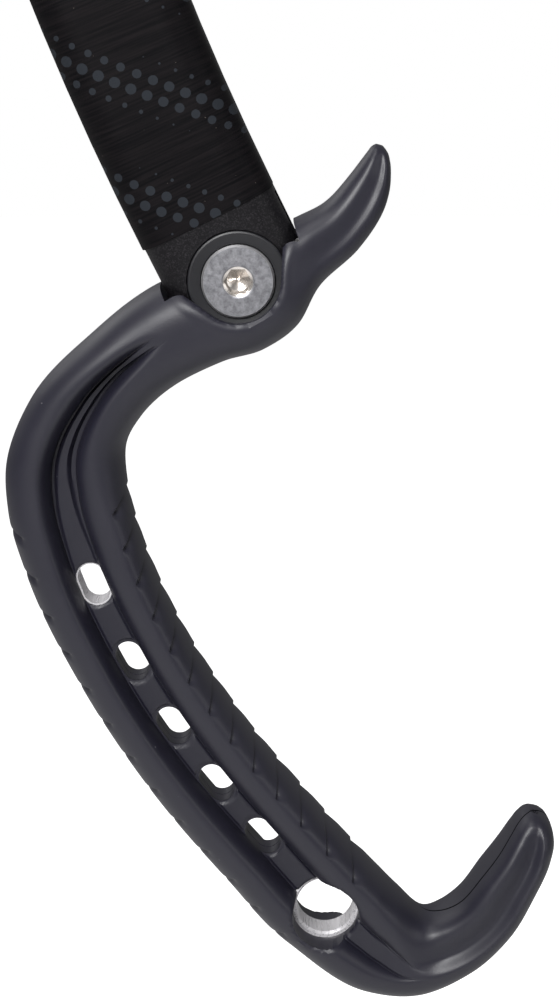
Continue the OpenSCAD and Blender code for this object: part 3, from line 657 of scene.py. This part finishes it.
def moulded_rubber(colour):
    """Navy black rubber from a blasted mould: a half gloss, fine grain, a little dust, and a parting line
    drawn as a dark line of painted shade.
    """
    made, tree, shader = material("moulded_rubber_satin", colour, 0.0, 0.55)
    place = add(tree, "ShaderNodeTexCoord").outputs["Object"]
    marks = add(tree, "ShaderNodeTexNoise", {"Vector": place, "Scale": 1 / (14 * MM), "Detail": 4.0})
    tint = add(tree, "ShaderNodeMix", [marks, colour, linear("#1E1D28")], data_type="RGBA")
    dust = add(tree, "ShaderNodeTexVoronoi", {"Vector": place, "Scale": 1 / (6 * MM)})
    speck = add(tree, "ShaderNodeMath", [dust, 0.022], operation="LESS_THAN")
    dusty = add(tree, "ShaderNodeMix", [speck, tint, linear("#77747A")], data_type="RGBA")

    # The mould's grain is finer than the picture can show, so it is drawn at 0.35 mm
    grain = add(tree, "ShaderNodeTexNoise", {"Vector": place, "Scale": 1 / (0.35 * MM), "Detail": 2.0})

    # The hook's parting line bows to the front on its way up to a rough moulding mark at the tip; the line is
    # painted near black without gloss as painted shade of its sunk groove, and the mark is darkened the same
    # way.
    part = add(tree, "ShaderNodeSeparateXYZ", [place])
    x, y = part.outputs["X"], part.outputs["Y"]
    middle, span, bow = [v * MM for v in SEAM_BOW]
    along = add(tree, "ShaderNodeMapRange", [x, middle, middle + span, 0.0, 1.0], clamp=False)
    square = add(tree, "ShaderNodeMath", [along, 2.0], operation="POWER")
    front = add(tree, "ShaderNodeMapRange", [square, 0.0, 1.0, bow, 0.0], clamp=False)
    off = add(tree, "ShaderNodeMath", [y, front], operation="ADD")
    away = add(tree, "ShaderNodeMath", [off], operation="ABSOLUTE")
    line = add(tree, "ShaderNodeMapRange", [away, 0.2 * MM, 0.3 * MM, 1.0, 0.0])
    hook = add(tree, "ShaderNodeMapRange", [x, SEAM_START[0] * MM, SEAM_START[1] * MM, 0.0, 1.0])
    seam_shade_line = add(tree, "ShaderNodeMath", [line, hook], operation="MULTIPLY")
    from_tip = add(tree, "ShaderNodeVectorMath", [place, [v * MM for v in HOOK_TIP]], operation="DISTANCE")
    near = add(tree, "ShaderNodeMapRange", [from_tip, 0.8 * MM, 1.5 * MM, 1.0, 0.0])
    torn = add(tree, "ShaderNodeMapRange", [grain, 0.45, 0.55, 0.0, 1.0])
    mark = add(tree, "ShaderNodeMath", [near, torn], operation="MULTIPLY")
    # Painted shade: the parting line and the tip's mark turn near black and lose their gloss
    seam_shade_and_mark = add(tree, "ShaderNodeMath", [seam_shade_line, mark], operation="MAXIMUM")
    feed(shader, {
        "Base Color": add(tree, "ShaderNodeMix", [seam_shade_and_mark, dusty, linear("#050507")], data_type="RGBA"),
        "Roughness": add(tree, "ShaderNodeMapRange", [marks, 0.3, 0.7, 0.42, 0.5]),
        "Specular IOR Level": add(tree, "ShaderNodeMapRange", [seam_shade_and_mark, 0.0, 1.0, 0.5, 0.0]),
        "Normal": add(tree, "ShaderNodeBump", {"Strength": 0.3, "Distance": 0.05 * MM, "Height": grain}),
    })
    return made


class ICETOOL_OT_grip_halves(bpy.types.Operator):
    """Moulds the two rubber halves of the handle round the core and gives them their finish"""

    bl_idname = "icetool.grip_halves"
    bl_label = "Grip halves"

    def execute(self, context):
        skin = closed_mesh("grip_skin", grip_skin(context.scene.ice_grip))
        holes = [slot_outline(i, 0.0) for i in range(BARE_SLOT)]
        holes += [slot_outline(BARE_SLOT, BARE_MARGIN), arc((0, -CLIP_DROP), CLIP_R + CLIP_LINER, 0, 355, 72),
                  mouth_outline()]
        room = FORK_HALF_T + TURN_GAP / 2
        core = CORE_HALF + CORE_GAP
        rear = carve(skin, [
            prism("core_room", [(core_outline(), -core, core)]),
            prism("holes", [(hole, -THROUGH, THROUGH) for hole in holes]),
            prism("fork_room", [(fork_room(), -room, room)])])
        line_slots(rear, range(BARE_SLOT))
        front = rear.copy()
        front.transform(Matrix.Scale(-1, 4, (0, 1, 0)))
        front.flip_normals()
        finish = moulded_rubber(context.scene.ice_colours.rubber)
        for name, mesh in (("grip_front", front), ("grip_rear", rear)):
            mesh.name = name
            mesh.materials.clear()
            mesh.materials.append(finish)
            mesh.shade_smooth()
            mesh.set_sharp_from_angle(angle=SHARP_EDGE)
            piece = bpy.data.objects.new(name, mesh)
            context.scene.collection.objects.link(piece)
            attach(piece, "handle")
            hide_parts(name.replace("grip", "grip_half"))
        return {"FINISHED"}


def anodised_tube(colour, motif):
    """Black anodised tube, brushed across its length: near black with faint warm streaks and grey dots."""
    made, tree, shader = material("black_anodised_brushed_tube", colour, 0.0, 0.5)
    place = add(tree, "ShaderNodeTexCoord").outputs["Object"]

    # Ways across and along the bowed shaft
    centre = shaft_place(SHAFT_OFFSET + BOW_R, RIM_RISE) * MM
    offset = add(tree, "ShaderNodeVectorMath", [place, (centre[0], 0, centre[1])], operation="SUBTRACT")
    x, y, z = add(tree, "ShaderNodeSeparateXYZ", [offset]).outputs
    flat = add(tree, "ShaderNodeCombineXYZ", [x, z])
    reach = add(tree, "ShaderNodeVectorMath", [flat], operation="LENGTH")
    across = add(tree, "ShaderNodeMath", [BOW_R * MM, reach], operation="SUBTRACT")
    left = add(tree, "ShaderNodeMath", [x, -1.0], operation="MULTIPLY")
    turn = add(tree, "ShaderNodeMath", [z, left], operation="ARCTAN2")
    along = add(tree, "ShaderNodeMath", [turn, BOW_R * MM], operation="MULTIPLY")

    # Brush lines are finer than the picture can show, so they are drawn at 0.4 mm
    lines = add(tree, "ShaderNodeCombineXYZ", [across, along, y])
    stretched = add(tree, "ShaderNodeVectorMath", [lines, (0.03, 1.0, 0.03)], operation="MULTIPLY")
    brush = add(tree, "ShaderNodeTexNoise", {"Vector": stretched, "Scale": 1 / (0.4 * MM), "Detail": 3.0})
    streak = add(tree, "ShaderNodeMapRange", [brush, 0.35, 0.7, 0.0, 1.0])
    warm = add(tree, "ShaderNodeMix", [streak, colour, linear("#131012")], data_type="RGBA")

    # Dots of 1.1 mm radius at most, on a diagonal grid, that grow and fade in slanted bands along the shaft
    pitch, band = 3.4 * MM, 27 * MM
    plus = add(tree, "ShaderNodeMath", [across, along], operation="ADD")
    minus = add(tree, "ShaderNodeMath", [across, along], operation="SUBTRACT")
    cells = add(tree, "ShaderNodeCombineXYZ", [plus, minus])
    scaled = add(tree, "ShaderNodeVectorMath", [cells, 1 / (pitch * math.sqrt(2))], operation="SCALE")
    inside = add(tree, "ShaderNodeVectorMath", [scaled], operation="FRACTION")
    middle = add(tree, "ShaderNodeVectorMath", [inside, (0.5, 0.5, 0.0)], operation="SUBTRACT")
    from_dot = add(tree, "ShaderNodeVectorMath", [middle], operation="LENGTH")
    slanted = add(tree, "ShaderNodeMath", [across, 0.8, along], operation="MULTIPLY_ADD")
    wave_turn = add(tree, "ShaderNodeMath", [slanted, 2 * math.pi / band], operation="MULTIPLY")
    wave = add(tree, "ShaderNodeMath", [wave_turn], operation="SINE")
    size = add(tree, "ShaderNodeMapRange", [wave, -0.3, 1.0, 0.0, 0.33])
    dot = add(tree, "ShaderNodeMath", [from_dot, size], operation="LESS_THAN")
    printed = add(tree, "ShaderNodeMix", [dot, warm, motif], data_type="RGBA")

    dust = add(tree, "ShaderNodeTexVoronoi", {"Vector": place, "Scale": 1 / (2.6 * MM)})
    speck = add(tree, "ShaderNodeMath", [dust, 0.035], operation="LESS_THAN")
    feed(shader, {
        "Base Color": add(tree, "ShaderNodeMix", [speck, printed, linear("#4E4844")], data_type="RGBA"),
        "Roughness": add(tree, "ShaderNodeMapRange", [brush, 0.3, 0.7, 0.46, 0.58]),
        "Specular IOR Level": 0.08,
        "Normal": add(tree, "ShaderNodeBump", {"Strength": 0.1, "Distance": 0.02 * MM, "Height": brush}),
    })
    return made


class ICETOOL_OT_shaft(bpy.types.Operator):
    """Finishes the bowed tube"""

    bl_idname = "icetool.shaft"
    bl_label = "Shaft"

    def execute(self, context):
        colours = context.scene.ice_colours
        dress(anodised_tube(colours.shaft, colours.motif), "shaft_tube")
        return {"FINISHED"}


def speckled_coat(name, colour, flake, dull):
    """Powder coat with metal flake on a forging: near black with small dim grains and a fine rough skin."""
    made, tree, shader = material(name, colour, 0.1, dull)
    place = add(tree, "ShaderNodeTexCoord").outputs["Object"]
    cells = add(tree, "ShaderNodeTexVoronoi", {"Vector": place, "Scale": 1 / (0.2 * MM)})
    chance = add(tree, "ShaderNodeSeparateColor", [cells.outputs["Color"]])
    bright = add(tree, "ShaderNodeMapRange", [chance.outputs[0], 0.6, 1.0, 0.0, 0.8])
    grain = add(tree, "ShaderNodeTexNoise", {"Vector": place, "Scale": 1 / (0.25 * MM), "Detail": 3.0})
    feed(shader, {
        "Base Color": add(tree, "ShaderNodeMix", [bright, colour, linear(flake)], data_type="RGBA"),
        "Roughness": add(tree, "ShaderNodeMapRange", [chance.outputs[1], 0.0, 1.0, dull - 0.08, dull + 0.08]),
        "Specular IOR Level": 0.2,
        "Normal": add(tree, "ShaderNodeBump", {"Strength": 0.35, "Distance": 0.04 * MM, "Height": grain}),
    })
    return made


def satin_acetal(colour):
    """Turned black acetal: an even satin with a faint grain."""
    made, tree, shader = material("turned_black_acetal", colour, 0.0, 0.4)
    place = add(tree, "ShaderNodeTexCoord").outputs["Object"]
    grain = add(tree, "ShaderNodeTexNoise", {"Vector": place, "Scale": 1 / (0.3 * MM), "Detail": 2.0})
    feed(shader, {
        "Base Color": add(tree, "ShaderNodeMix", [grain, colour, linear("#1D1D21")], data_type="RGBA"),
        "Roughness": add(tree, "ShaderNodeMapRange", [grain, 0.3, 0.7, 0.34, 0.44]),
        "Normal": add(tree, "ShaderNodeBump", {"Strength": 0.12, "Distance": 0.02 * MM, "Height": grain}),
    })
    return made


def plated_steel(name, colour, bright):
    """Zinc plated steel: a tumbled cloudy grey, with a brighter rim, and at the pivot a socket painted bright
    and warm as a painted highlight.
    """
    made, tree, shader = material(name, colour, 0.9, 0.45)
    place = add(tree, "ShaderNodeTexCoord").outputs["Object"]
    cloud = add(tree, "ShaderNodeTexNoise", {
        "Vector": place, "Scale": 1 / (0.9 * MM), "Detail": 8.0, "Roughness": 0.75})
    spread = add(tree, "ShaderNodeMapRange", [cloud, 0.3, 0.7, 0.0, 1.0])
    face = add(tree, "ShaderNodeMix", [spread, colour, linear(bright)], data_type="RGBA")

    # Rings round the pivot's axis: the socket within 3 mm, painted bright as a painted highlight of its
    # glints, the rim from 7 to 8 mm
    axis = (PIVOT[0] * MM, 0, PIVOT[1] * MM)
    offset = add(tree, "ShaderNodeVectorMath", [place, axis], operation="SUBTRACT")
    flat = add(tree, "ShaderNodeVectorMath", [offset, (1, 0, 1)], operation="MULTIPLY")
    reach = add(tree, "ShaderNodeVectorMath", [flat], operation="LENGTH")
    socket = add(tree, "ShaderNodeMapRange", [reach, 3.0 * MM, 3.1 * MM, 1.0, 0.0])
    inner = add(tree, "ShaderNodeMapRange", [reach, 6.9 * MM, 7.0 * MM, 0.0, 0.5])
    outer = add(tree, "ShaderNodeMath", [reach, 8 * MM], operation="LESS_THAN")
    rim = add(tree, "ShaderNodeMath", [inner, outer], operation="MULTIPLY")
    turned = add(tree, "ShaderNodeMix", [rim, face, linear("#B4B3B4")], data_type="RGBA")
    worn = add(tree, "ShaderNodeMapRange", [cloud, 0.3, 0.7, 0.42, 0.58])
    feed(shader, {
        # Painted highlight: the socket's hollow gets a bright warm colour that stands in for the glints in it
        "Base Color": add(tree, "ShaderNodeMix", [socket, turned, linear("#DCD6D0")], data_type="RGBA"),
        "Roughness": add(tree, "ShaderNodeMix", [socket, worn, 0.2], data_type="FLOAT"),
        "Normal": add(tree, "ShaderNodeBump", {"Strength": 0.35, "Distance": 0.03 * MM, "Height": cloud}),
    })
    return made


def bearing_bronze(colour):
    """Sintered bronze: a warm dull metal with fine pores."""
    made, tree, shader = material("sintered_bronze", colour, 1.0, 0.45)
    place = add(tree, "ShaderNodeTexCoord").outputs["Object"]
    pores = add(tree, "ShaderNodeTexNoise", {"Vector": place, "Scale": 1 / (0.4 * MM), "Detail": 3.0})
    tint = add(tree, "ShaderNodeMix", [pores, colour, linear("#B39258")], data_type="RGBA")
    feed(shader, {"Base Color": tint})
    return made


def natural_nylon(colour):
    """Moulded natural nylon: a milky off-white with a faint cloud."""
    made, tree, shader = material("natural_nylon", colour, 0.0, 0.45)
    place = add(tree, "ShaderNodeTexCoord").outputs["Object"]
    cloud = add(tree, "ShaderNodeTexNoise", {"Vector": place, "Scale": 1 / (3 * MM), "Detail": 2.0})
    tint = add(tree, "ShaderNodeMix", [cloud, colour, linear("#E2DFD6")], data_type="RGBA")
    feed(shader, {"Base Color": tint})
    return made


class ICETOOL_OT_pivot(bpy.types.Operator):
    """Finishes the fork, the rings, the clamp bolt and the bearing"""

    bl_idname = "icetool.pivot"
    bl_label = "Pivot"

    def execute(self, context):
        colours = context.scene.ice_colours
        dress(speckled_coat("flake_powder_coat_forging", colours.fitting, "#2B292C", 0.48), "pivot_fitting")
        dress(satin_acetal(colours.ring), "ring_front", "ring_rear")
        dress(plated_steel("zinc_plated_steel_tumbled", colours.bolt, "#A2A2A6"), "pivot_bolt", "pivot_nut")
        dress(bearing_bronze(linear("#86683A")), "pivot_bush")
        dress(natural_nylon(linear("#D2CDC2")), "thrust_washers")
        return {"FINISHED"}


def milled_alloy(colour):
    """Bare milled aluminium: bright, with fine cutter lines through the plate."""
    made, tree, shader = material("milled_aluminium_bare", colour, 0.45, 0.4)
    place = add(tree, "ShaderNodeTexCoord").outputs["Object"]
    stretched = add(tree, "ShaderNodeVectorMath", [place, (1.0, 0.06, 1.0)], operation="MULTIPLY")

    # Cutter lines are finer than the picture can show, so they are drawn at 0.5 mm
    lines = add(tree, "ShaderNodeTexNoise", {"Vector": stretched, "Scale": 1 / (0.5 * MM), "Detail": 3.0})
    feed(shader, {
        "Base Color": add(tree, "ShaderNodeMix", [lines, colour, linear("#ECEAEC")], data_type="RGBA"),
        "Roughness": add(tree, "ShaderNodeMapRange", [lines, 0.3, 0.7, 0.24, 0.38]),
    })
    return made


class ICETOOL_OT_core(bpy.types.Operator):
    """Finishes the core plate that shows in the slot and the clip hole"""

    bl_idname = "icetool.core"
    bl_label = "Core"

    def execute(self, context):
        dress(milled_alloy(context.scene.ice_colours.alloy), "handle_core")
        return {"FINISHED"}


def tempered_steel(colour):
    """Tempered tool steel, ground along the blade: grey with a faint straw cloud and fine lines."""
    made, tree, shader = material("tempered_steel_ground", colour, 0.9, 0.48)
    place = add(tree, "ShaderNodeTexCoord").outputs["Object"]
    stretched = add(tree, "ShaderNodeVectorMath", [place, (0.05, 1.0, 1.0)], operation="MULTIPLY")

    # Grinding lines are finer than the picture can show, so they are drawn at 0.6 mm
    lines = add(tree, "ShaderNodeTexNoise", {"Vector": stretched, "Scale": 1 / (0.6 * MM), "Detail": 3.0})
    cloud = add(tree, "ShaderNodeTexNoise", {"Vector": place, "Scale": 1 / (18 * MM), "Detail": 3.0})
    ground = add(tree, "ShaderNodeMix", [lines, colour, linear("#828387")], data_type="RGBA")
    straw = linear("#D8D2C8")
    tint = add(tree, "ShaderNodeMix", [cloud, ground, straw], data_type="RGBA", blend_type="MULTIPLY")
    feed(shader, {
        "Base Color": tint,
        "Roughness": add(tree, "ShaderNodeMapRange", [lines, 0.3, 0.7, 0.42, 0.56]),
    })
    return made


class ICETOOL_OT_head(bpy.types.Operator):
    """Finishes the head, the pick, the hammer and their fasteners"""

    bl_idname = "icetool.head"
    bl_label = "Head"

    def execute(self, context):
        colours = context.scene.ice_colours
        dress(speckled_coat("black_powder_coat_head", colours.head, "#333234", 0.66), "head_block")
        dress(tempered_steel(colours.pick), "pick", "hammer")
        dress(plated_steel("zinc_plated_steel_dull", colours.fasteners, "#6E6E72"), "head_pins", "pick_bolts",
              "pick_nuts", "hammer_bolt", "hammer_nut", "bolt_washers")
        return {"FINISHED"}


def softbox(name, place, size, power):
    """An area lamp that shines on the tool and doesn't show to the camera."""
    data = bpy.data.lights.new(name, "AREA")
    data.shape = "RECTANGLE"
    data.size, data.size_y = size
    data.energy = power
    lamp = bpy.data.objects.new(name, data)
    lamp.location = place
    lamp.rotation_euler = (Vector(LAMP_AIM) - Vector(place)).to_track_quat("-Z", "Y").to_euler()
    lamp.visible_camera = False
    bpy.context.scene.collection.objects.link(lamp)


def white_world():
    """A dim even world that shows white to the camera and grey in gloss."""
    world = bpy.data.worlds.new("studio_world")
    world.use_nodes = True
    sky = world.node_tree
    ray = add(sky, "ShaderNodeLightPath").outputs
    seen = add(sky, "ShaderNodeMath", [ray["Is Camera Ray"], ray["Is Transmission Ray"]], operation="MAXIMUM")
    mirrored = add(sky, "ShaderNodeMapRange", [ray["Is Glossy Ray"], 0.0, 1.0, 0.1, 0.25])
    strength = add(sky, "ShaderNodeMapRange", [seen, 0.0, 1.0, mirrored, 1.0])
    feed(sky.nodes["Background"], {"Color": linear("#FFFFFF"), "Strength": strength})
    return world


class ICETOOL_OT_studio(bpy.types.Operator):
    """Sets up the pale floor, the soft lamps and the camera"""

    bl_idname = "icetool.studio"
    bl_label = "Studio"

    def execute(self, context):
        scene, studio = context.scene, context.scene.ice_studio
        scene.view_settings.view_transform = "Standard"
        back = Vector((0, -math.cos(studio.camera_lift), math.sin(studio.camera_lift)))
        data = bpy.data.cameras.new("camera")
        data.sensor_width = 36
        data.lens = data.sensor_width * studio.camera_distance / studio.view_height
        camera = bpy.data.objects.new("camera", data)
        camera.location = Vector(studio.aim) + back * studio.camera_distance
        camera.rotation_euler = (-back).to_track_quat("-Z", "Y").to_euler()
        scene.collection.objects.link(camera)
        scene.camera = camera

        low = CAD_BOX[0][2] - studio.floor_drop
        spread = 3.0
        corners = [(x * spread, y * spread, low) for x, y in ((-1, -1), (1, -1), (1, 1), (-1, 1))]
        mesh = bpy.data.meshes.new("floor")
        mesh.from_pydata(corners, [], [(0, 1, 2, 3)])
        floor = bpy.data.objects.new("floor", mesh)
        scene.collection.objects.link(floor)
        paint, tree, shader = material("studio_floor_paint", linear("#F2F2F2"), 0.0, 0.9)
        seen = add(tree, "ShaderNodeLightPath").outputs["Is Camera Ray"]
        glow = add(tree, "ShaderNodeMath", [seen, 0.9], operation="MULTIPLY")
        feed(shader, {"Emission Color": linear("#FFFFFF"), "Emission Strength": glow})
        mesh.materials.append(paint)

        scene.world = white_world()
        for lamp in LAMPS:
            softbox(*lamp)
        return {"FINISHED"}


class ICETOOL_PT_panel(bpy.types.Panel):
    """Sizes, colours and steps of the tool in the sidebar"""

    bl_label = "Ice Tool"
    bl_idname = "ICETOOL_PT_panel"
    bl_space_type = "VIEW_3D"
    bl_region_type = "UI"
    bl_category = "Ice Tool"

    def draw(self, context):
        for group in (context.scene.ice_grip, context.scene.ice_colours, context.scene.ice_studio):
            box = self.layout.box()
            for name in group.__annotations__:
                box.prop(group, name)
        for step in STEPS:
            self.layout.operator(step.bl_idname)


GROUPS = {"ice_grip": GripSizes, "ice_colours": ToolColours, "ice_studio": StudioSettings}
STEPS = (ICETOOL_OT_studio, ICETOOL_OT_grip_halves, ICETOOL_OT_shaft, ICETOOL_OT_pivot, ICETOOL_OT_core,
         ICETOOL_OT_head)


def register():
    for made in (*GROUPS.values(), *STEPS, ICETOOL_PT_panel):
        bpy.utils.register_class(made)
    for name, group in GROUPS.items():
        setattr(bpy.types.Scene, name, bpy.props.PointerProperty(type=group))


def unregister():
    for name in GROUPS:
        delattr(bpy.types.Scene, name)
    for made in reversed((*GROUPS.values(), *STEPS, ICETOOL_PT_panel)):
        bpy.utils.unregister_class(made)


def main():
    register()
    for step in STEPS:
        group, name = step.bl_idname.split(".")
        getattr(getattr(bpy.ops, group), name)()


if __name__ == "__main__":
    main()
